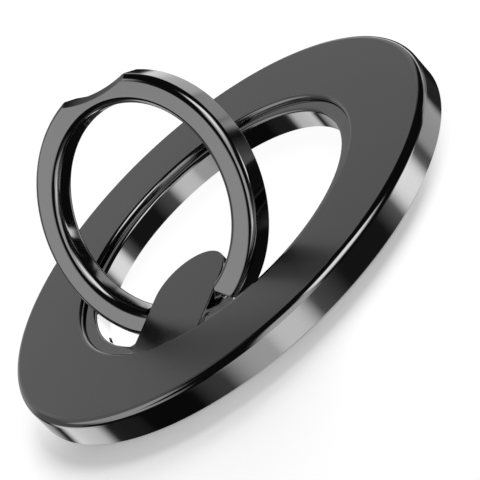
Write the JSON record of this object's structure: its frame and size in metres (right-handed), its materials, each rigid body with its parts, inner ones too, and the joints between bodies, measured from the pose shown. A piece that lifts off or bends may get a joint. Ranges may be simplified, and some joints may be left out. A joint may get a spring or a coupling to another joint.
{
  "type": "phone ring holder",
  "caption": "Flat magnetic ring plate for a phone's back, with an inner ring that turns in it and a notched finger ring that folds on a lug.",
  "frame": {"origin": "centre of the back face that rests on the phone, on the turning axis", "axes": "+Z away from the phone along the turning axis; the hinge lug is on the -Y side and its pin runs along X"},
  "size_m": [0.056, 0.056, 0.0234],
  "materials": {
    "plate_metal": "black nickel plate, satin top face and polished edges, on a zinc casting",
    "ring_metal": "black nickel plate, fine satin faces and polished walls, on a zinc casting",
    "steel": "plain steel",
    "magnet_metal": "nickel plated magnet",
    "slide_plastic": "slippery washer plastic",
    "back_plastic": "matt black sheet",
    "pad_rubber": "soft matt pad"
  },
  "bodies": {
    "base": {"base_shell": "plate_metal", "steel_yoke": "steel", "back_plate": "back_plastic", "back_pad": "pad_rubber", "slide_ring": "slide_plastic", "retaining_ring": "steel", "magnet_01": "magnet_metal", "magnet_02": "magnet_metal", "magnet_03": "magnet_metal", "magnet_04": "magnet_metal", "magnet_05": "magnet_metal", "magnet_06": "magnet_metal", "magnet_07": "magnet_metal", "magnet_08": "magnet_metal", "magnet_09": "magnet_metal", "magnet_10": "magnet_metal", "magnet_11": "magnet_metal", "magnet_12": "magnet_metal", "magnet_13": "magnet_metal", "magnet_14": "magnet_metal", "magnet_15": "magnet_metal", "magnet_16": "magnet_metal", "magnet_17": "magnet_metal", "magnet_18": "magnet_metal"},
    "rotor": {"turning_ring": "plate_metal", "friction_sleeve": "steel"},
    "finger": {"finger_ring": "ring_metal", "hinge_pin": "steel"}
  },
  "joints": [
    {"name": "ring_turn", "type": "hinge", "parent": "base", "child": "rotor", "pos_m": [0, 0, 0.0017], "axis": [0, 0, 1], "continuous": true},
    {"name": "finger_fold", "type": "hinge", "parent": "rotor", "child": "finger", "pos_m": [0, -0.01115, 0.0018], "axis": [1, 0, 0], "range_deg": [-58.8, 56.2]}
  ]
}
